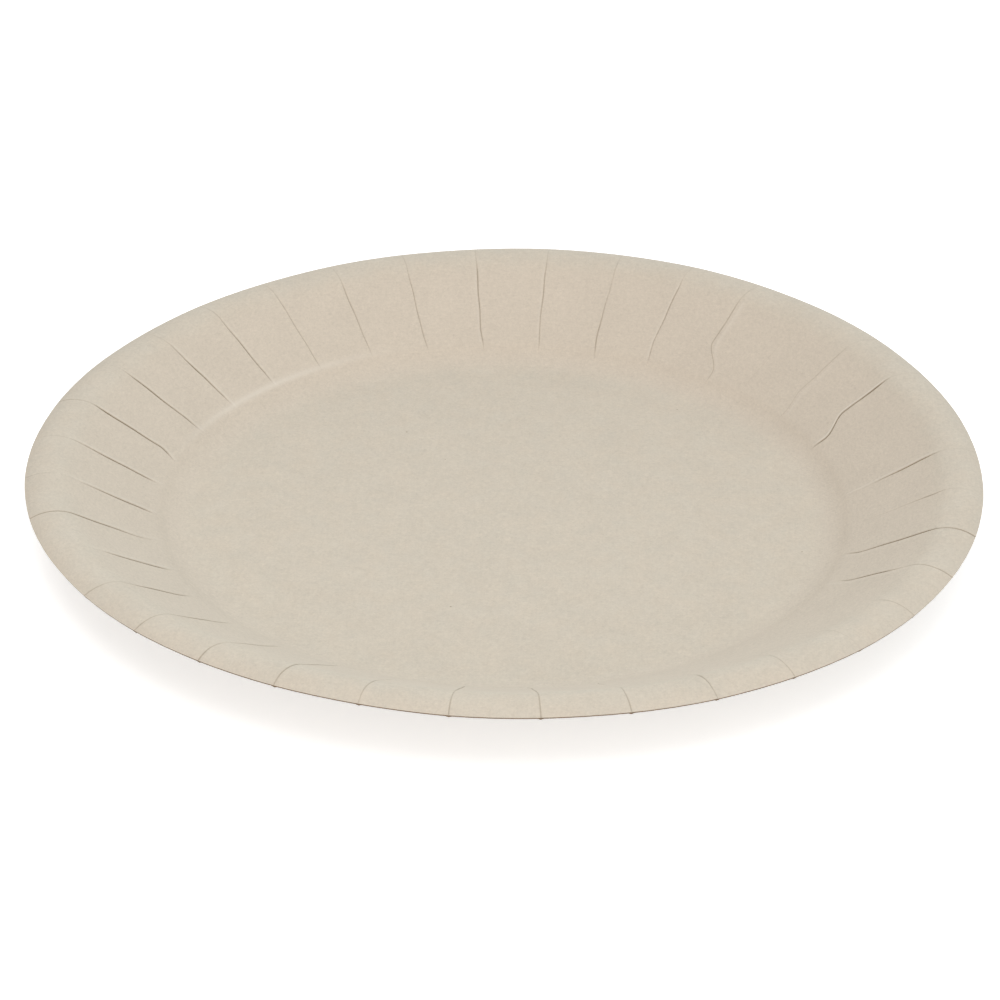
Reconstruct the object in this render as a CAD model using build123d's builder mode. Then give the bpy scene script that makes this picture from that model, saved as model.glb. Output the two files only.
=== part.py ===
# Round pressed paper plate: one sheet of kraft board with a flat floor, a sloping wall, a rounded
# crest, a turned-down brim, and radial pleats that take up the spare board of the wall.
# Millimetres, +Z up, origin on the surface under the middle of the floor.
import os
from math import cos, degrees, pi, radians, sin, tan

from build123d import *

# The form of the plate, all measured on its top face
rim_diameter = 230.0
depth = 16.4  # from the floor up to the crest
wall_angle = 28.8  # above level
heel_radius = 5.0  # concave bend between floor and wall
crest_radius = 10.0  # convex bend between wall and brim
brim_angle = 29.0  # below level, at the cut edge
board = 0.48  # thickness of the sheet

# The pleats, scored into the flat blank and pressed shut as the wall is drawn up
pleat_count = 36
first_pleat_angle = 4.2  # from +X
score_lead = 6.5  # how far up the wall the scores begin
score_width = 0.36  # of the fold line on the top face
score_depth = 0.18
fold_lead = 7.0  # how far up the wall the spare board begins to fold
start_share = 0.3  # of its full section, where a score or a fold begins

# Allowances of the cutting tools
tool_clearance = 0.3  # how far a tool stands clear of the face or edge that it cuts
fold_root = 0.12  # how deep a fold is joined into the sheet

# Where the bends end
slope = radians(wall_angle)
droop = radians(brim_angle)
wall_rise = depth - (heel_radius + crest_radius) * (1 - cos(slope))
wall_length = wall_rise / sin(slope)
brim_reach = crest_radius * (sin(slope) + sin(droop))
wall_top_radius = rim_diameter / 2 - brim_reach
floor_radius = wall_top_radius - wall_rise / tan(slope) - heel_radius * sin(slope)
edge_height = board + depth - crest_radius * (1 - cos(droop))

# Each pleat swallows its share of the length by which the edge of the flat blank is too long
blank_radius = floor_radius + heel_radius * slope + wall_length + crest_radius * (slope + droop)
take_up = 2 * pi * (blank_radius - rim_diameter / 2) / pleat_count


def bends(sink=0.0):
    """Heel, wall and crest of the face that lies `sink` under the top face, run on past the edge."""
    past_edge = degrees(tool_clearance / crest_radius)
    heel = JernArc((floor_radius, board - sink), (1, 0), heel_radius + sink, wall_angle)
    wall = Line(heel @ 1, (heel @ 1) + (heel % 1) * wall_length)
    crest = JernArc(wall @ 1, wall % 1, crest_radius - sink, -(wall_angle + brim_angle + past_edge))
    return heel, wall, crest


def wedge(point, direction, width, height, root, share=1.0):
    """A V square to `direction`: `width` across at the face, point down, carried up by `root`."""
    top = width / 2 * (share + root / height)
    with BuildSketch(Plane(origin=point, x_dir=(0, 1, 0), z_dir=direction)) as section:
        with BuildLine():
            Polyline((-top, root), (top, root), (0, -height * share), close=True)
        make_face()
    return section.sketch


def pleat_line(sink, lead, width, height, root):
    """A V that grows up the wall from `lead` above its foot and keeps its size over the crest."""
    with BuildPart() as ridge:
        with BuildLine(Plane.XZ):
            heel, wall, crest = bends(sink)
        start = (wall @ 0) + (wall % 0) * lead
        top = wedge(wall @ 1, wall % 1, width, height, root)
        loft([wedge(start, wall % 0, width, height, root, start_share), top])
        sweep(top, path=crest)
    return ridge.part


# Fold line pressed into the top face, and the spare board folded up under it: two layers side by
# side, each as wide as what the pleat takes up
score = pleat_line(0, score_lead, score_width, score_depth, tool_clearance)
fold = pleat_line(board, fold_lead, 2 * take_up, board, fold_root)

# The cut edge, square to the board of the brim
with BuildPart() as trim:
    with BuildSketch(Plane.XZ):
        with Locations((rim_diameter / 2, edge_height)):
            Rectangle(4 * board, 8 * board, rotation=-brim_angle, align=(Align.MIN, Align.CENTER))
    revolve(axis=Axis.Z)

with BuildPart() as plate:
    with BuildSketch(Plane.XZ):
        with BuildLine():
            Line((0, board), (floor_radius, board))
            bends()
            offset(amount=board, side=Side.RIGHT)
        make_face()
    revolve(axis=Axis.Z)
    with PolarLocations(0, pleat_count, start_angle=first_pleat_angle):
        add(fold)
        add(score, mode=Mode.SUBTRACT)
    add(trim.part, mode=Mode.SUBTRACT)

os.makedirs("parts", exist_ok=True)
plate.part.label = "plate"
export_step(plate.part, "parts/plate.step")
print(f"floor {2 * floor_radius:.1f}, blank {2 * blank_radius:.1f}, take-up {take_up:.2f}")
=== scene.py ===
import math

import bpy
import numpy as np
from mathutils import Matrix, Vector


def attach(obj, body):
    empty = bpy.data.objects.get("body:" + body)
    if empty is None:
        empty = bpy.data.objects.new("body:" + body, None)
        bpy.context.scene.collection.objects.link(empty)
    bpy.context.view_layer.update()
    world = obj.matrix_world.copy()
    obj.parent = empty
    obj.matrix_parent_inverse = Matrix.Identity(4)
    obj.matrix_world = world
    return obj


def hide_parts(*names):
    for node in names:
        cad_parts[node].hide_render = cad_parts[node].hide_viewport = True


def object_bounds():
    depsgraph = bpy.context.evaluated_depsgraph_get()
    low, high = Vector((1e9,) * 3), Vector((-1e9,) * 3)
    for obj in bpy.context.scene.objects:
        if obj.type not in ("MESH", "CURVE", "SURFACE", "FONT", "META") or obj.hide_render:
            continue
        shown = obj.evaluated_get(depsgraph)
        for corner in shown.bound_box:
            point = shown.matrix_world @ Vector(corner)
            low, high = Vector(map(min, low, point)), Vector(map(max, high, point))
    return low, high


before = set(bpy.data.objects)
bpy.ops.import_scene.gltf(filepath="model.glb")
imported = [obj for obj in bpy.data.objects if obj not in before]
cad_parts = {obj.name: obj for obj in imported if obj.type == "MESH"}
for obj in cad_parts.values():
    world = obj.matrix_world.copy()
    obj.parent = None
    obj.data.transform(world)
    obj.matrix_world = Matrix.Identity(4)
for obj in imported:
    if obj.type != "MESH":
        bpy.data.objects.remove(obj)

cad_low, cad_high = [list(corner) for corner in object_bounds()]

# The plate's form in metres, on its top face, as fitted to the photograph: within 0.3 mm of its solid.
# The heel bends up past the slope of the wall, and the board eases back to that slope.
MM = 0.001
RIM_RADIUS = cad_high[0]
BOARD = 0.48 * MM
DEPTH = cad_high[2] - BOARD
HEEL_RADIUS = 13.5 * MM
HEEL_ANGLE = math.radians(37.0)
BREAK_RADIUS = 16.0 * MM
WALL_ANGLE = math.radians(29.1)
CREST_RADIUS = 10.5 * MM
BRIM_ANGLE = math.radians(30.3)
PLEAT_COUNT = 36
FIRST_PLEAT = math.radians(4.2)
PLEAT_STEP = 2 * math.pi / PLEAT_COUNT

HEEL_RISE = HEEL_RADIUS * (1 - math.cos(HEEL_ANGLE))
BREAK_RISE = BREAK_RADIUS * (math.cos(WALL_ANGLE) - math.cos(HEEL_ANGLE))
WALL_RISE = DEPTH - HEEL_RISE - BREAK_RISE - CREST_RADIUS * (1 - math.cos(WALL_ANGLE))
WALL_LENGTH = WALL_RISE / math.sin(WALL_ANGLE)
WALL_TOP = RIM_RADIUS - CREST_RADIUS * (math.sin(WALL_ANGLE) + math.sin(BRIM_ANGLE))
WALL_FOOT = WALL_TOP - WALL_RISE / math.tan(WALL_ANGLE)
HEEL_TOP = WALL_FOOT - BREAK_RADIUS * (math.sin(HEEL_ANGLE) - math.sin(WALL_ANGLE))
FLOOR_RADIUS = HEEL_TOP - HEEL_RADIUS * math.sin(HEEL_ANGLE)

# Lengths along the board from the middle of the floor to the end of each bend
HEEL_END = FLOOR_RADIUS + HEEL_RADIUS * HEEL_ANGLE
BREAK_END = HEEL_END + BREAK_RADIUS * (HEEL_ANGLE - WALL_ANGLE)
WALL_END = BREAK_END + WALL_LENGTH
EDGE = WALL_END + CREST_RADIUS * (WALL_ANGLE + BRIM_ANGLE)

# Where along the board the pleats are described, in mm in from the cut edge
STATIONS = [1.5, 9.0, 13.5, 20.0, 28.0]
# How hard each pleat is pressed there, from the first one and round towards +Y, and how many degrees
# it swerves where it runs out low on the wall
PLEATS = (
    (0.15, 0.08, 1.25, 1.15, 0.15, 0.0),
    (0.05, 0.00, 0.00, 0.00, 0.00, 0.0),
    (0.15, 0.12, 1.35, 0.95, 1.05, -2.7),
    (0.20, 0.02, 0.35, 0.30, 0.20, -1.2),
    (0.00, 0.00, 0.03, 0.10, 0.10, 0.0),
    (0.15, 0.20, 0.50, 0.50, 0.40, -3.2),
    (0.05, 0.12, 0.60, 0.55, 0.40, -0.5),
    (0.10, 0.30, 0.22, 0.32, 0.60, -0.5),
    (0.05, 0.25, 0.50, 0.55, 0.40, -0.3),
    (0.08, 0.25, 0.70, 0.60, 0.55, -0.3),
    (0.10, 0.22, 0.42, 0.48, 0.45, -0.4),
    (0.10, 0.18, 0.50, 0.50, 0.40, 0.0),
    (0.10, 0.25, 0.40, 0.40, 0.40, 0.0),
    (0.10, 0.30, 0.50, 0.75, 0.65, 0.1),
    (0.10, 0.18, 0.50, 1.00, 0.70, 0.4),
    (0.08, 0.10, 1.00, 1.10, 0.80, 0.4),
    (0.45, 0.25, 1.45, 1.30, 1.00, 2.2),
    (0.10, 0.20, 0.65, 1.25, 1.10, 0.1),
    (0.25, 0.02, 0.08, 1.00, 1.30, 0.0),
    (0.70, 0.70, 1.30, 1.40, 0.55, -1.0),
    (0.02, 0.05, 0.12, 1.50, 1.20, -0.6),
    (0.50, 0.20, 0.40, 1.40, 0.80, -0.9),
    (0.55, 0.25, 0.50, 1.15, 0.60, -0.8),
    (0.65, 0.25, 0.50, 0.85, 0.60, -0.8),
    (0.50, 0.70, 0.65, 1.00, 0.60, -0.9),
    (0.30, 0.50, 0.40, 0.35, 0.00, 0.0),
    (0.50, 0.35, 0.55, 0.60, 0.60, -0.2),
    (0.50, 0.40, 0.50, 0.40, 0.55, -0.7),
    (0.45, 0.30, 0.05, 0.03, 0.30, 0.9),
    (0.33, 0.60, 0.15, 0.00, 0.05, 0.0),
    (0.35, 0.20, 0.10, 0.00, 0.00, 0.0),
    (0.08, 0.15, 0.10, 0.02, 0.00, 0.0),
    (0.35, 0.25, 0.05, 0.03, 0.03, 0.0),
    (0.65, 0.40, 0.25, 1.50, 0.70, 1.3),
    (0.95, 0.60, 1.70, 1.45, 0.80, 1.3),
    (0.03, 0.20, 0.78, 0.25, 0.10, 0.0),
)
# Pleats with a lip standing up beside the fold line, painted lighter as a highlight: how plain it is, and
# how many mm from the line it stands, towards the next pleat or, below 0, the one before
LIPS = {
    0: 0.8, 2: 1.4, 3: 0.35, 5: 0.5, 6: 0.5, 8: 0.3, 9: 0.3, 13: 0.5, 14: 0.8, 15: 0.6, 16: 0.7,
    17: 0.7, 18: 0.7, 19: 0.5, 20: 0.5, 33: 0.4, 34: 0.5,
}
LIP_PLACES = {
    0: 0.75, 2: 0.47, 3: -1.1, 5: -1.3, 6: 0.45, 8: 0.5, 9: 0.5, 13: -0.55, 14: -0.6, 15: -0.65,
    16: -0.75, 17: -0.8, 18: -0.95, 19: -1.0, 20: -1.1, 33: -1.1, 34: -1.0,
}
# Pleats that lie a little off the even spacing on the wall, in degrees
SHIFTS = {
    2: 0.4, 3: 0.5, 5: 0.4, 19: 0.1, 20: -0.2, 21: -0.15, 23: 0.5, 24: 0.45, 25: 0.5, 26: 0.25,
    33: 0.2, 34: -0.1,
}
# How much lower down the wall a pleat runs out than the others, and how much higher up it swerves,
# in mm
LATE = {
    2: 2.0, 3: 2.5, 5: 2.0, 6: 2.0, 7: 2.5, 8: 2.8, 9: 2.0, 10: 1.5, 13: -1.2, 14: -1.2, 15: -0.5,
    17: -1.3, 18: -0.7, 19: -2.2, 20: -1.5, 21: -3.0, 22: -2.0, 23: -1.5, 24: -1.5, 26: 3.0, 27: 5.0,
    28: 5.0, 33: -3.2,
}
EARLY = {2: 5.0, 3: 3.0, 5: 4.0, 19: 2.0, 20: 2.0, 21: 3.0, 22: 4.0, 23: 5.0, 33: 2.0}

# Where folds and lips fade in and out and fold lines swerve, in mm in from the cut edge
RUN_OUT = (30.5, 35.5)
SWERVE = (29.0, 37.5)
LIP_FROM, LIP_TO = (8, 13), (33, 36)
# A swerve dies away towards the middle, between these parts of the floor's radius
SWERVE_FADE = (0.6, 1.0)

# A fold line is a little wavy: by how many radians, and how the wave runs on along it, in radians a
# mm, and from one pleat to the next. It starts on the heel and ends on the crest
WANDER = 0.0007
WANDER_RATE = 0.55
WANDER_PHASE = 2.4
WANDER_FROM = (0.9, 1.0)  # as parts of the length from the middle to the end of the heel
WANDER_TO = (3, 11)  # in mm in from the cut edge


def smooth(low, high, value):
    """0 below low, 1 above high and smooth between."""
    t = np.clip((value - low) / (high - low), 0, 1)
    return t * t * (3 - 2 * t)


def section(path):
    """Radius, height and slope of the top face at lengths along the board from the middle."""
    path = np.asarray(path, float)
    on_heel = np.clip((path - FLOOR_RADIUS) / HEEL_RADIUS, 0, HEEL_ANGLE)
    on_break = np.clip((path - HEEL_END) / BREAK_RADIUS, 0, HEEL_ANGLE - WALL_ANGLE)
    on_wall = np.clip(path - BREAK_END, 0, WALL_LENGTH)
    on_crest = np.maximum(path - WALL_END, 0) / CREST_RADIUS
    radius = np.minimum(path, FLOOR_RADIUS) + HEEL_RADIUS * np.sin(on_heel)
    radius = radius + BREAK_RADIUS * (math.sin(HEEL_ANGLE) - np.sin(HEEL_ANGLE - on_break))
    radius = radius + on_wall * math.cos(WALL_ANGLE)
    radius = radius + CREST_RADIUS * (math.sin(WALL_ANGLE) - np.sin(WALL_ANGLE - on_crest))
    height = BOARD + HEEL_RADIUS * (1 - np.cos(on_heel))
    height = height + BREAK_RADIUS * (np.cos(HEEL_ANGLE - on_break) - math.cos(HEEL_ANGLE))
    height = height + on_wall * math.sin(WALL_ANGLE)
    height = height + CREST_RADIUS * (np.cos(WALL_ANGLE - on_crest) - math.cos(WALL_ANGLE))
    return radius, height, on_heel - on_break - on_crest


def by_pleat(values, pleat):
    """The value that a short list of special pleats gives for each column, 0 for the others."""
    return np.array([values.get(number, 0.0) for number in range(PLEAT_COUNT)])[pleat]


def pressed(path, pleat):
    """How hard each fold is pressed at lengths along the board."""
    inward = (EDGE - path) / MM
    press = np.stack([np.interp(inward[:, 0], STATIONS, row[:-1]) for row in PLEATS], axis=1)
    return press[:, pleat] * (1 - smooth(*RUN_OUT, inward - by_pleat(LATE, pleat)))


def waves(angle, seed, count):
    """A smooth random curve round the plate, about -1 to 1."""
    rng = np.random.default_rng(seed)
    total = np.zeros_like(angle)
    for order in range(2, 2 + count):
        size = rng.normal()
        total = total + size * np.cos(order * angle + rng.uniform(0, 2 * math.pi)) / math.sqrt(count)
    return total


# Distances from a fold line to the columns of vertices beside it, at the rim
BESIDE = np.array([0.06, 0.12, 0.18, 0.25, 0.35, 0.5, 0.7, 0.9, 1.1, 1.5, 2.6, 5.0]) * MM
HALF_PANEL = RIM_RADIUS * PLEAT_STEP / 2


def columns():
    """Angle, distance from the nearest fold at the rim and number of that pleat, for each column."""
    offsets = np.concatenate([-BESIDE[::-1], [0.0], BESIDE, [HALF_PANEL]])
    pleat = np.repeat(np.arange(PLEAT_COUNT), len(offsets))
    offset = np.tile(offsets, PLEAT_COUNT)
    return FIRST_PLEAT + pleat * PLEAT_STEP + offset / RIM_RADIUS, offset, pleat


# The groove of a fold line and the board that laps up beside it. How hard a fold is pressed sets its
# width, by a base and a gain, and its depth and darkness up to the limit
GROOVE_WIDTH = 0.13 * MM
GROOVE_BASE, GROOVE_GAIN = 0.75, 0.4
GROOVE_DEPTH = 0.2 * MM
PRESS_LIMIT = 1.2
LAP_HEIGHT = 0.05 * MM
LAP_REACH = 1.3 * MM
LIP_WIDTH = 0.22 * MM
LIP_HEIGHT = 0.05 * MM
# A fold's dark line is partly darker pressed fibre and partly painted shade in its groove
DARK_WIDTH = 1.15  # of a fold's dark line, in widths of its groove

# The spare board folded up under each pleat
FOLD_WIDTH = 0.74 * MM
FOLD_HEIGHT = 0.46 * MM
FOLD_LEAD = 7 * MM

# Painted warm bounce light on the board of the wall, between these radii in mm
BOUNCE_TINT_FROM, BOUNCE_TINT_TO = (74, 80), (101, 107)

# The plate is a little bent out of round: how far its rim rises and sinks, twice round the plate, and
# in finer waves
WARP_COS = -1.03 * MM
WARP_SIN = 1.01 * MM
WARP_FROM, WARP_FULL = 0.6, 0.8  # as parts of the rim's radius
RIPPLE = 0.12 * MM
RIPPLE_SEED, RIPPLE_WAVES = 5, 14

# Where the folds run out, a painted highlight lies on a ring at the back left
RING_PLACE = 33.9  # in mm in from the cut edge
RING_WIDTH = 0.8
RING_HIGHLIGHT_STRENGTH = 0.95
RING_FROM, RING_TO = math.radians(105), math.radians(168)
RING_FADE = math.radians(30)


def bearings(path, inward, angle, offset, pleat):
    """Angle of each vertex round the plate: fold lines wander, lie off their place and swerve."""
    share = smooth(0, HALF_PANEL, HALF_PANEL - np.abs(offset))
    on_wall = smooth(*WANDER_FROM, path / HEEL_END) * smooth(*WANDER_TO, inward)
    aside = WANDER * np.sin(path / MM * WANDER_RATE + pleat * WANDER_PHASE)
    aside = aside + np.radians(by_pleat(SHIFTS, pleat))
    swerve = np.radians(np.array(PLEATS)[:, -1])[pleat]
    swerve = swerve * smooth(*SWERVE, inward + by_pleat(EARLY, pleat))
    swerve = swerve * smooth(*SWERVE_FADE, path / FLOOR_RADIUS)
    return angle + share * (swerve + aside * on_wall)


def lips(inward, beside, pleat):
    """How plain the lip beside a fold line is, and with it the lip's painted highlight."""
    lip = by_pleat(LIPS, pleat) * smooth(*LIP_FROM, inward) * (1 - smooth(*LIP_TO, inward))
    return lip * np.exp(-(((beside / MM - by_pleat(LIP_PLACES, pleat)) * MM / LIP_WIDTH) ** 2))


def crease(angle, beside, width, press, lip):
    """Height on the top face: a groove, the board that laps up on one side of it, and the lip."""
    side = np.where(np.cos(angle) > 0, 1.0, -1.0)
    lap = smooth(-GROOVE_WIDTH, GROOVE_WIDTH, side * beside) * np.exp(-np.abs(beside) / LAP_REACH)
    groove = np.exp(-((beside / width) ** 2))
    return press * (LAP_HEIGHT * lap - GROOVE_DEPTH * groove) + LIP_HEIGHT * lip


def spare_board(path, beside):
    """Height on the underside, where each pleat's spare board is folded up into a ridge."""
    taken_up = smooth(HEEL_END + FOLD_LEAD, WALL_END, path)
    return -FOLD_HEIGHT * taken_up * np.maximum(1 - np.abs(beside) / FOLD_WIDTH, 0)


def bend(radius, theta):
    """How far the plate, bent out of round, rises here."""
    raised = (radius / RIM_RADIUS) ** 2 * smooth(WARP_FROM, WARP_FULL, radius / RIM_RADIUS)
    warp = WARP_COS * np.cos(2 * theta) + WARP_SIN * np.sin(2 * theta)
    return raised * (warp + RIPPLE * waves(theta, RIPPLE_SEED, RIPPLE_WAVES))


def ring_highlight(inward, theta):
    """How strong the painted highlight is on the ring where the folds run out."""
    begun = smooth(RING_FROM, RING_FROM + RING_FADE, theta)
    ended = smooth(RING_TO - RING_FADE, RING_TO, theta)
    return RING_HIGHLIGHT_STRENGTH * np.exp(-(((inward - RING_PLACE) / RING_WIDTH) ** 2)) * (begun * (1 - ended))


def lattice(path, thickness):
    """One face of the board, the top one where thickness is 0: its vertices, and how much each belongs
    to a fold line's dark colour, partly darker pressed fibre and partly painted shade in the groove, to
    the painted highlight on a lip or the ring, and to the painted warm bounce light on the wall."""
    angle, offset, pleat = columns()
    path = path[:, None]
    inward = (EDGE - path) / MM
    radius, height, slope = section(path)
    theta = bearings(path, inward, angle, offset, pleat)
    beside = offset * radius / RIM_RADIUS
    press = pressed(path, pleat)
    width = GROOVE_WIDTH * (GROOVE_BASE + GROOVE_GAIN * press)
    press = np.minimum(press, PRESS_LIMIT)
    lip = lips(inward, beside, pleat)
    lift = spare_board(path, beside) if thickness else crease(angle, beside, width, press, lip)
    lift = lift - thickness
    radius = radius - lift * np.sin(slope)
    height = height + lift * np.cos(slope)
    height = height + bend(radius, theta)
    points = np.stack([radius * np.cos(theta), radius * np.sin(theta), height], axis=-1)
    # Painted shade in the groove, with the darker pressed fibre, along each fold line
    dark = press * np.exp(-((beside / (DARK_WIDTH * width)) ** 2))
    # Painted warm bounce light on the wall
    wall_bounce_tint = smooth(*BOUNCE_TINT_FROM, radius / MM) * (1 - smooth(*BOUNCE_TINT_TO, radius / MM))
    # The ring's painted highlight is added to the lip's
    return points, dark, lip + ring_highlight(inward, theta), wall_bounce_tint


def rings(rows, count):
    """Quads between neighbouring rows of vertices that run round the plate."""
    here = np.arange(count)
    after = (here + 1) % count
    faces = []
    for row in range(rows - 1):
        low, high = row * count, (row + 1) * count
        faces.append(np.stack([low + here, high + here, high + after, low + after], axis=-1))
    return np.concatenate(faces)


def legs(*parts):
    """Lengths along the board past each part's start: a part is its two ends and its number of steps."""
    return np.concatenate([np.linspace(start, end, steps + 1)[1:] for start, end, steps in parts])


# Where rings of vertices run round the board: some cross the floor, with one more just inside the heel,
# and the legs give those from there to the cut edge and, on the underside, back
FLOOR_RINGS = [0.004, 0.03, 0.055]
LAST_FLOOR_RING = FLOOR_RADIUS - 6 * MM
TOP_LEGS = (
    (LAST_FLOOR_RING, FLOOR_RADIUS, 2),
    (FLOOR_RADIUS, HEEL_END, 8),
    (HEEL_END, BREAK_END, 5),
    (BREAK_END, WALL_END, 27),
    (WALL_END, EDGE, 17),
)
UNDER_LEGS = (
    (EDGE, WALL_END, 9),
    (WALL_END, BREAK_END, 7),
    (BREAK_END, HEEL_END, 2),
    (HEEL_END, FLOOR_RADIUS, 5),
)
UNDER_FLOOR_RINGS = [0.055, 0.004]


def mark_cut_edge(mesh, first_cut, count):
    """Gives the cut edge its own material and sharp borders. It lies between two rows of vertices."""
    material = np.zeros(len(mesh.polygons), np.int32)
    material[first_cut:first_cut + count] = 1
    mesh.polygons.foreach_set("material_index", material)
    border = range(first_cut, first_cut + 2 * count)
    for edge in mesh.edges:
        a, b = edge.vertices
        if a in border and b in border and (a - first_cut) // count == (b - first_cut) // count:
            edge.use_edge_sharp = True


def board_mesh():
    """The whole sheet as one closed mesh: top face from the middle out, cut edge, underside back in."""
    top_path = np.concatenate([FLOOR_RINGS, [LAST_FLOOR_RING], legs(*TOP_LEGS)])
    under_path = np.concatenate([[EDGE], legs(*UNDER_LEGS), UNDER_FLOOR_RINGS])
    top, *top_looks = lattice(top_path, 0.0)
    under = lattice(under_path, BOARD)[0]
    count = top.shape[1]
    points = np.concatenate([top.reshape(-1, 3), under.reshape(-1, 3)])
    rows = len(top_path) + len(under_path)
    faces = rings(rows, count).tolist()
    middle = len(points)
    points = np.concatenate([points, [[0, 0, BOARD], [0, 0, 0]]])
    last = (rows - 1) * count
    for here in range(count):
        after = (here + 1) % count
        faces.append([middle, here, after])
        faces.append([middle + 1, last + after, last + here])
    mesh = bpy.data.meshes.new("pressed_board")
    mesh.from_pydata(points.tolist(), [], faces)
    for name, values in zip(("fold", "lip", "wall_bounce_tint"), top_looks):
        shown = np.zeros(len(points), np.float32)
        shown[:top.size // 3] = np.broadcast_to(values, top.shape[:2]).ravel()
        mesh.attributes.new(name, "FLOAT", "POINT").data.foreach_set("value", shown)
    mesh.polygons.foreach_set("use_smooth", [True] * len(mesh.polygons))
    mark_cut_edge(mesh, (len(top_path) - 1) * count, count)
    return mesh


class Nodes:
    """A material's node tree, with short ways to add and join nodes."""

    def __init__(self, name):
        self.material = bpy.data.materials.new(name)
        self.material.use_nodes = True
        self.tree = self.material.node_tree
        self.shader = self.tree.nodes["Principled BSDF"]

    def add(self, kind, **settings):
        node = self.tree.nodes.new(kind)
        for key, value in settings.items():
            setattr(node, key, value)
        return node

    def join(self, source, target):
        if isinstance(source, (int, float, tuple)):
            target.default_value = source
        else:
            self.tree.links.new(source, target)

    def math(self, operation, first, second=0.0, third=0.0, clamp=False):
        node = self.add("ShaderNodeMath", operation=operation, use_clamp=clamp)
        for socket, value in zip(node.inputs, (first, second, third)):
            self.join(value, socket)
        return node.outputs[0]

    def mix(self, factor, first, second, blend="MIX"):
        node = self.add("ShaderNodeMix", data_type="RGBA", blend_type=blend)
        sockets = (node.inputs[0], node.inputs[6], node.inputs[7])
        for socket, value in zip(sockets, (factor, first, second)):
            self.join(value, socket)
        return node.outputs[2]

    def grey(self, value):
        """A colour with the same value in all its channels."""
        node = self.add("ShaderNodeCombineColor")
        for socket in node.inputs:
            self.join(value, socket)
        return node.outputs[0]

    def attribute(self, name):
        return self.add("ShaderNodeAttribute", attribute_name=name).outputs["Fac"]

    def place(self, scale, turn=0.0):
        """Object coordinates in millimetres, turned about Z and then stretched by scale."""
        mapping = self.add("ShaderNodeMapping", vector_type="TEXTURE")
        mapping.inputs["Scale"].default_value = [MM / value for value in scale]
        mapping.inputs["Rotation"].default_value = (0, 0, turn)
        self.join(self.add("ShaderNodeTexCoord").outputs["Object"], mapping.inputs["Vector"])
        return mapping.outputs[0]

    def noise(self, scale, detail=2.0, turn=0.0, roughness=0.5, distortion=0.0):
        node = self.add("ShaderNodeTexNoise")
        self.join(self.place(scale, turn), node.inputs["Vector"])
        node.inputs["Scale"].default_value = 1.0
        node.inputs["Detail"].default_value = detail
        node.inputs["Roughness"].default_value = roughness
        node.inputs["Distortion"].default_value = distortion
        return node.outputs[0]

    def centred(self, value, gain):
        """A noise of 0 to 1 as a swing of plus or minus half the gain."""
        return self.math("MULTIPLY", self.math("SUBTRACT", value, 0.5), gain)


KRAFT_WARM = (0.631, 0.562, 0.463, 1)
KRAFT_COOL = (0.621, 0.562, 0.469, 1)
# The board tinted warmer by painted bounce light
KRAFT_BOUNCE_TINTED = (0.632, 0.561, 0.465, 1)
# Dark colour of a fold line: partly darker pressed fibre, partly painted shade in the groove
FOLD_FIBRE_AND_SHADE_TONE = (0.126, 0.082, 0.026, 1)
# Painted highlight where a lip or the ring catches the light
LIP_HIGHLIGHT_TONE = (0.73, 0.67, 0.58, 1)
# The cut edge's dark tone: partly raw board, partly painted shade
CUT_EDGE_AND_SHADE_TONE = (0.25, 0.18, 0.12, 1)
SPECK_TONE = (0.3, 0.22, 0.14, 1)
FOLD_FIBRE_AND_SHADE_STRENGTH = 0.75
LIP_HIGHLIGHT_STRENGTH = 0.7

# A noise has so many cells to the mm along X, Y and Z. A gain says how strongly it shows
MOTTLE = (1.3, 0.9, 1.3)
MOTTLE_GAIN = 1.5
STRANDS = (0.45, 2.6, 2.6)
STRAND_TURNS = (0.2, 0.9, 1.5, 2.2, 2.9)  # in radians
FIBRE_GAIN = 0.11
CLOUDS = (0.09, 0.09, 0.09)
CLOUD_GAIN = 0.08
HUES = (0.17, 0.17, 0.17)
HUE_GAIN = 2.5
LAYERS = (0.5, 0.5, 9.0)
LAYER_GAIN = 0.5
FIBRE_BUMP = 0.35
FIBRE_RELIEF = 0.05 * MM


def fibres(nodes):
    """Fine matted fibre, about -1 to 1: short strands in several directions over a fine mottle."""
    total = nodes.centred(nodes.noise(MOTTLE, detail=3.0, roughness=0.6), MOTTLE_GAIN)
    for turn in STRAND_TURNS:
        strand = nodes.noise(STRANDS, detail=2.0, turn=turn, distortion=0.4)
        total = nodes.math("ADD", total, nodes.centred(strand, 1.0))
    return total


# Dark bits of bark in the board, in mm from the middle, with their radii
SPECKS = (
    (-24.6, 42.3, 0.3),
    (-12.2, -42.5, 0.28),
    (-14.7, 28.3, 0.22),
    (71.5, -15.6, 0.25),
    (43.9, 55.4, 0.22),
)
SPECK_GAIN = 1.2


def specks(nodes):
    """1 on the dark bits and 0 elsewhere."""
    level = nodes.add("ShaderNodeVectorMath", operation="MULTIPLY")
    nodes.join(nodes.add("ShaderNodeTexCoord").outputs["Object"], level.inputs[0])
    level.inputs[1].default_value = (1 / MM, 1 / MM, 0)
    total = 0.0
    for x, y, size in SPECKS:
        apart = nodes.add("ShaderNodeVectorMath", operation="DISTANCE")
        nodes.join(level.outputs[0], apart.inputs[0])
        apart.inputs[1].default_value = (x, y, 0)
        spot = nodes.math("SUBTRACT", 1.0, nodes.math("DIVIDE", apart.outputs["Value"], size), clamp=True)
        total = nodes.math("ADD", total, spot)
    return nodes.math("MULTIPLY", total, SPECK_GAIN, clamp=True)


def matt(nodes, roughness, specular):
    nodes.shader.inputs["Roughness"].default_value = roughness
    nodes.shader.inputs["Specular IOR Level"].default_value = specular


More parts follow.
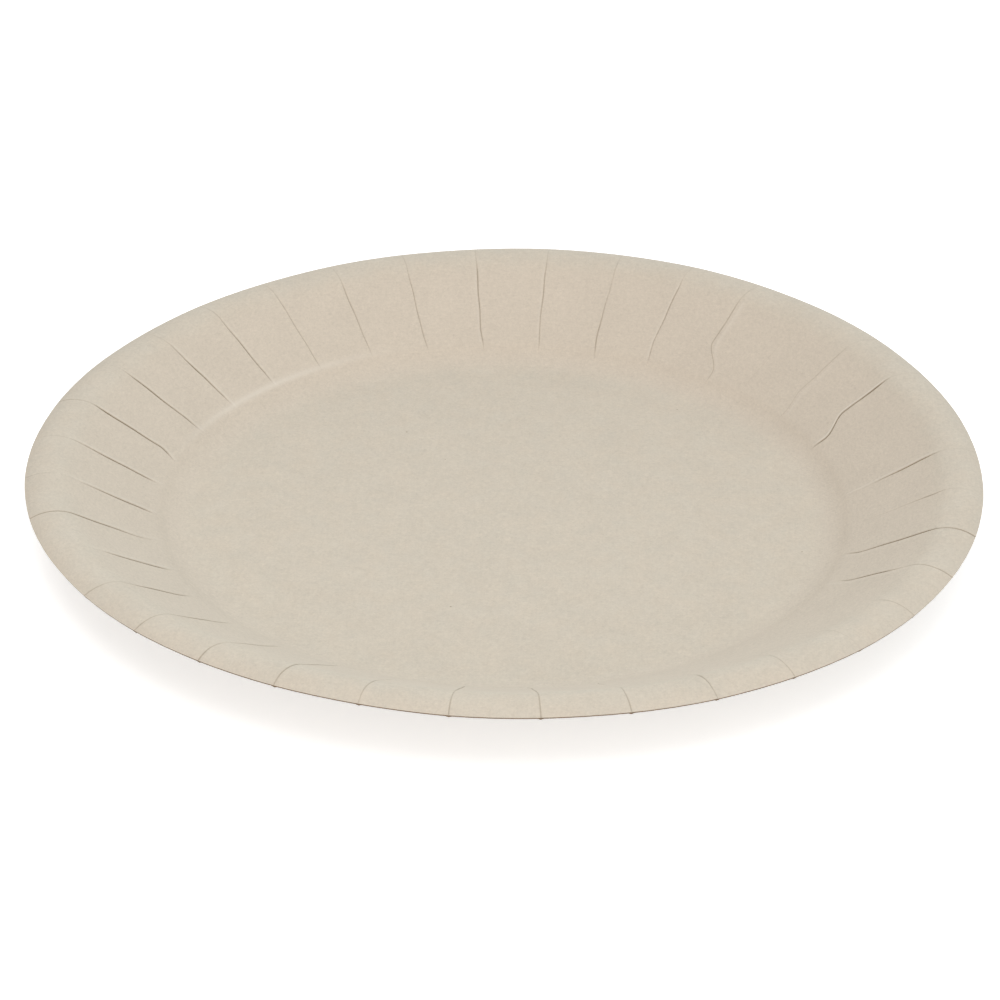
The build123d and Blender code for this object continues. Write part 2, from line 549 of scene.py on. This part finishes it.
def kraft(nodes, fibre):
    """The board's colour: its fibre, slight clouds and changes of hue, and the painted warm bounce light
    on the wall.
    """
    cloud = nodes.centred(nodes.noise(CLOUDS, detail=3.0), 1.0)
    clouded = nodes.math("MULTIPLY_ADD", cloud, CLOUD_GAIN, 1.0)
    tone = nodes.math("MULTIPLY_ADD", fibre, FIBRE_GAIN, clouded)
    hue = nodes.centred(nodes.noise(HUES, detail=2.0), 1.0)
    hue = nodes.math("MULTIPLY_ADD", hue, HUE_GAIN, 0.5, clamp=True)
    plain = nodes.mix(hue, KRAFT_COOL, KRAFT_WARM)
    # Painted warm bounce light mixed in on the wall
    colour = nodes.mix(nodes.attribute("wall_bounce_tint"), plain, KRAFT_BOUNCE_TINTED)
    return nodes.mix(1.0, colour, nodes.grey(tone), "MULTIPLY")


def board_face_material():
    nodes = Nodes("kraft_board_face")
    fibre = fibres(nodes)
    colour = nodes.mix(specks(nodes), kraft(nodes, fibre), SPECK_TONE)
    # Painted highlight on the lips and the ring
    lip = nodes.math("MULTIPLY", nodes.attribute("lip"), LIP_HIGHLIGHT_STRENGTH, clamp=True)
    # Fold lines darkened: partly pressed fibre, partly painted shade in the groove
    fold = nodes.math("MULTIPLY", nodes.attribute("fold"), FOLD_FIBRE_AND_SHADE_STRENGTH, clamp=True)
    colour = nodes.mix(fold, nodes.mix(lip, colour, LIP_HIGHLIGHT_TONE), FOLD_FIBRE_AND_SHADE_TONE)
    nodes.join(colour, nodes.shader.inputs["Base Color"])
    matt(nodes, roughness=0.9, specular=0.25)
    bump = nodes.add("ShaderNodeBump")
    bump.inputs["Strength"].default_value = FIBRE_BUMP
    bump.inputs["Distance"].default_value = FIBRE_RELIEF
    nodes.join(fibre, bump.inputs["Height"])
    nodes.join(bump.outputs[0], nodes.shader.inputs["Normal"])
    return nodes.material


def cut_edge_material():
    """Raw edge of the board, with its layers: its dark tone is partly the board's own and partly painted
    shade.
    """
    nodes = Nodes("kraft_board_cut")
    layers = nodes.centred(nodes.noise(LAYERS, detail=3.0), LAYER_GAIN)
    tone = nodes.grey(nodes.math("ADD", layers, 1.0))
    nodes.join(nodes.mix(1.0, CUT_EDGE_AND_SHADE_TONE, tone, "MULTIPLY"), nodes.shader.inputs["Base Color"])
    matt(nodes, roughness=0.95, specular=0.2)
    return nodes.material


def make_plate():
    mesh = board_mesh()
    mesh.materials.append(board_face_material())
    mesh.materials.append(cut_edge_material())
    plate = bpy.data.objects.new("pressed_board", mesh)
    bpy.context.scene.collection.objects.link(plate)
    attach(plate, "root")
    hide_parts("plate")
    return plate


FLOOR_LEVEL = -0.15 * MM  # just under the lowest points of the bent plate
FLOOR_REACH = 6.0  # from the middle to each side
FLOOR_TONE = (0.8, 0.8, 0.8, 1)
FLOOR_GLOW = 0.6  # what the camera sees on top of the light that falls on the floor


def make_floor():
    """A pale floor that the camera sees as white, apart from the shadow on it."""
    mesh = bpy.data.meshes.new("floor")
    signs = ((-1, -1), (1, -1), (1, 1), (-1, 1))
    corners = [(x * FLOOR_REACH, y * FLOOR_REACH, FLOOR_LEVEL) for x, y in signs]
    mesh.from_pydata(corners, [], [(0, 1, 2, 3)])
    floor = bpy.data.objects.new("floor", mesh)
    bpy.context.scene.collection.objects.link(floor)
    nodes = Nodes("pale_floor")
    tree = nodes.tree
    nodes.shader.inputs["Base Color"].default_value = FLOOR_TONE
    nodes.shader.inputs["Roughness"].default_value = 0.9
    glow = nodes.add("ShaderNodeEmission")
    glow.inputs["Strength"].default_value = FLOOR_GLOW
    both = nodes.add("ShaderNodeAddShader")
    tree.links.new(nodes.shader.outputs[0], both.inputs[0])
    tree.links.new(glow.outputs[0], both.inputs[1])
    choose = nodes.add("ShaderNodeMixShader")
    tree.links.new(seen_rays(tree), choose.inputs[0])
    tree.links.new(nodes.shader.outputs[0], choose.inputs[1])
    tree.links.new(both.outputs[0], choose.inputs[2])
    tree.links.new(choose.outputs[0], tree.nodes["Material Output"].inputs["Surface"])
    mesh.materials.append(nodes.material)


def seen_rays(tree):
    """1 for rays from the camera, and for what gloss or glass shows of the background."""
    light_path = tree.nodes.new("ShaderNodeLightPath")
    total = light_path.outputs["Is Camera Ray"]
    for name in ("Is Glossy Ray", "Is Transmission Ray"):
        add = tree.nodes.new("ShaderNodeMath")
        add.operation = "MAXIMUM"
        tree.links.new(total, add.inputs[0])
        tree.links.new(light_path.outputs[name], add.inputs[1])
        total = add.outputs[0]
    return total


# The room's light: its level, how much more comes from +X than from -X, from +Y than from -Y, from front
# and back than from the sides, from two opposite corners than from the others, and from above and below
SKY_LEVEL = 0.655
LIGHT_FROM_RIGHT = 0.4
LIGHT_FROM_BACK = 0.08
LIGHT_ALONG_Y = 1.7
LIGHT_ACROSS = -0.3
LIGHT_FROM_ABOVE = 0.4
DIMMEST_SKY = 0.03
# It's a little warmer from the front left and cooler from the back right: the change in red, green and
# blue
WARM_SIDE = (-0.75, -0.66)
WARMTH = (0.066, -0.052, -0.105)
LAMP_PLACE = (-0.05, -0.32, 0.6)
LAMP_SIZE = 0.35
LAMP_POWER = 1.1


def make_light():
    """A soft, nearly even sky, which the camera sees as white."""
    world = bpy.data.worlds.new("studio")
    bpy.context.scene.world = world
    world.use_nodes = True
    tree = world.node_tree
    background = tree.nodes["Background"]
    direction = tree.nodes.new("ShaderNodeSeparateXYZ")
    tree.links.new(tree.nodes.new("ShaderNodeTexCoord").outputs["Generated"], direction.inputs[0])

    def math_node(operation, first, second, third=0.0):
        node = tree.nodes.new("ShaderNodeMath")
        node.operation = operation
        for socket, value in zip(node.inputs, (first, second, third)):
            if isinstance(value, float):
                socket.default_value = value
            else:
                tree.links.new(value, socket)
        return node.outputs[0]

    x, y, z = direction.outputs
    across = math_node("SUBTRACT", math_node("MULTIPLY", y, y), math_node("MULTIPLY", x, x))
    level = math_node("MULTIPLY_ADD", across, LIGHT_ALONG_Y, 1.0)
    level = math_node("MULTIPLY_ADD", x, LIGHT_FROM_RIGHT, level)
    level = math_node("MULTIPLY_ADD", y, LIGHT_FROM_BACK, level)
    level = math_node("MULTIPLY_ADD", math_node("MULTIPLY", x, y), LIGHT_ACROSS, level)
    level = math_node("MULTIPLY_ADD", math_node("MULTIPLY", z, z), LIGHT_FROM_ABOVE, level)
    level = math_node("MULTIPLY", math_node("MAXIMUM", level, DIMMEST_SKY), SKY_LEVEL)
    seen = seen_rays(tree)
    level = math_node("ADD", math_node("MULTIPLY", level, math_node("SUBTRACT", 1.0, seen)), seen)
    tree.links.new(level, background.inputs["Strength"])
    toward = math_node("MULTIPLY_ADD", x, WARM_SIDE[0], math_node("MULTIPLY", y, WARM_SIDE[1]))
    toward = math_node("MULTIPLY", toward, math_node("SUBTRACT", 1.0, seen))
    tint = tree.nodes.new("ShaderNodeCombineColor")
    for socket, warmth in zip(tint.inputs, WARMTH):
        tree.links.new(math_node("MULTIPLY_ADD", toward, warmth, 1.0), socket)
    tree.links.new(tint.outputs[0], background.inputs["Color"])


def make_lamp():
    """A soft lamp over the front of the plate."""
    data = bpy.data.lights.new("lamp", "AREA")
    data.shape = "DISK"
    data.size = LAMP_SIZE
    data.energy = LAMP_POWER
    lamp = bpy.data.objects.new("lamp", data)
    bpy.context.scene.collection.objects.link(lamp)
    lamp.location = LAMP_PLACE
    lamp.rotation_euler = (-Vector(LAMP_PLACE)).to_track_quat("-Z", "Y").to_euler()


# The photograph's view of the plate: distance and height of the eye, a slight roll, and the aim
VIEW_DISTANCE = 0.9867
VIEW_ELEVATION = math.radians(29.896)
VIEW_ROLL = math.radians(0.466)
PICTURE = 1000  # pixels across
FOCAL_PIXELS = 4064.2
MIDDLE_PIXEL = (503.9, 516.45)  # where the middle of the floor shows
SENSOR = 36.0  # mm across
CLIP_NEAR, CLIP_FAR = 0.05, 50.0


def make_camera():
    data = bpy.data.cameras.new("camera")
    data.sensor_width = SENSOR
    data.lens = SENSOR * FOCAL_PIXELS / PICTURE
    data.clip_start = CLIP_NEAR
    data.clip_end = CLIP_FAR
    camera = bpy.data.objects.new("camera", data)
    bpy.context.scene.collection.objects.link(camera)
    bpy.context.scene.camera = camera
    middle = Vector((0, 0, BOARD))
    forward = Vector((0, math.cos(VIEW_ELEVATION), -math.sin(VIEW_ELEVATION)))
    place = middle - forward * VIEW_DISTANCE
    right = Vector((1, 0, 0))
    up = right.cross(forward)
    across = (PICTURE / 2 - MIDDLE_PIXEL[0]) / FOCAL_PIXELS * VIEW_DISTANCE
    upward = (MIDDLE_PIXEL[1] - PICTURE / 2) / FOCAL_PIXELS * VIEW_DISTANCE
    forward = (middle + right * across + up * upward - place).normalized()
    right = forward.cross(Vector((0, 0, 1))).normalized()
    up = right.cross(forward)
    tilt_right = right * math.cos(VIEW_ROLL) + up * math.sin(VIEW_ROLL)
    tilt_up = up * math.cos(VIEW_ROLL) - right * math.sin(VIEW_ROLL)
    axes = Matrix((tilt_right, tilt_up, -forward)).transposed()
    camera.matrix_world = Matrix.Translation(place) @ axes.to_4x4()


make_camera()
make_floor()
make_light()
make_lamp()
make_plate()
bpy.context.scene.view_settings.view_transform = "Standard"
